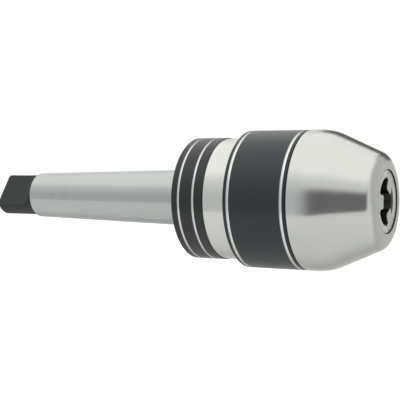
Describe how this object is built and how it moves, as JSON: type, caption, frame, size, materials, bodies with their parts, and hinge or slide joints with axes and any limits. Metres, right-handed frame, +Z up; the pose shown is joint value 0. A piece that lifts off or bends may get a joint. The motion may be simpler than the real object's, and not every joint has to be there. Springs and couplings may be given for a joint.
{
  "type": "keyless drill chuck",
  "caption": "Keyless drill chuck with sloping jaws, a turning hood and grip sleeve, a black collar and a tanged taper shank.",
  "frame": {"origin": "on the chuck's axis, in the gauge plane of the Morse taper 3 shank", "axes": "+X along the axis from the tang to the nose, +Z up, and one jaw towards -Y"},
  "size_m": [0.1858, 0.0568, 0.0568],
  "materials": {
    "ground_steel": "ground, with fine turning marks; the tang is left dark",
    "black_oxide": "black oxide with bright turned grooves",
    "dark_grip": "dark satin with bright turned grooves",
    "satin_steel": "satin, with fine turning marks",
    "jaw_steel": "hardened and ground",
    "inner_steel": "hardened, oiled",
    "cage_brass": "turned",
    "seal_rubber": "plain"
  },
  "bodies": {
    "arbor": {"arbor_body": "ground_steel", "rear_collar": "black_oxide", "collar_pin": "inner_steel", "neck_ring": "ground_steel", "snap_ring": "inner_steel", "drag_ring": "seal_rubber", "front_race": "inner_steel"},
    "bearing_cage": {"ball_cage": "cage_brass", "thrust_balls": "inner_steel"},
    "hood": {"rear_race": "inner_steel", "sleeve_nut": "inner_steel", "seal_ring": "seal_rubber", "grip_sleeve": "dark_grip", "hood": "satin_steel", "jaw_guide": "satin_steel", "guide_pins": "inner_steel"},
    "spindle": {"spindle": "inner_steel"},
    "jaw_1": {"jaw_1": "jaw_steel"},
    "jaw_2": {"jaw_2": "jaw_steel"},
    "jaw_3": {"jaw_3": "jaw_steel"}
  },
  "joints": [
    {"name": "sleeve_turn", "type": "hinge", "parent": "arbor", "child": "hood", "pos_m": [0, 0, 0], "axis": [1, 0, 0], "range_deg": [-980.8, 1200.7]},
    {"name": "cage_turn", "type": "hinge", "parent": "arbor", "child": "bearing_cage", "pos_m": [0, 0, 0], "axis": [1, 0, 0], "range_deg": [-490.5, 600.45]},
    {"name": "spindle_slide", "type": "slide", "parent": "hood", "child": "spindle", "axis": [1, 0, 0], "range_m": [-0.01001, 0.00817]},
    {"name": "jaw_1_slide", "type": "slide", "parent": "hood", "child": "jaw_1", "axis": [0.9397, 0.342, 0], "range_m": [-0.01065, 0.0087]},
    {"name": "jaw_2_slide", "type": "slide", "parent": "hood", "child": "jaw_2", "axis": [0.9397, -0.171, 0.2962], "range_m": [-0.01065, 0.0087]},
    {"name": "jaw_3_slide", "type": "slide", "parent": "hood", "child": "jaw_3", "axis": [0.9397, -0.171, -0.2962], "range_m": [-0.01065, 0.0087]}
  ],
  "couplings": [
    {"joint": "cage_turn", "follows": "sleeve_turn", "ratio": 0.5},
    {"joint": "spindle_slide", "follows": "sleeve_turn", "m_per_rad": -0.00047746},
    {"joint": "jaw_1_slide", "follows": "sleeve_turn", "m_per_rad": -0.00050811},
    {"joint": "jaw_2_slide", "follows": "sleeve_turn", "m_per_rad": -0.00050811},
    {"joint": "jaw_3_slide", "follows": "sleeve_turn", "m_per_rad": -0.00050811}
  ]
}
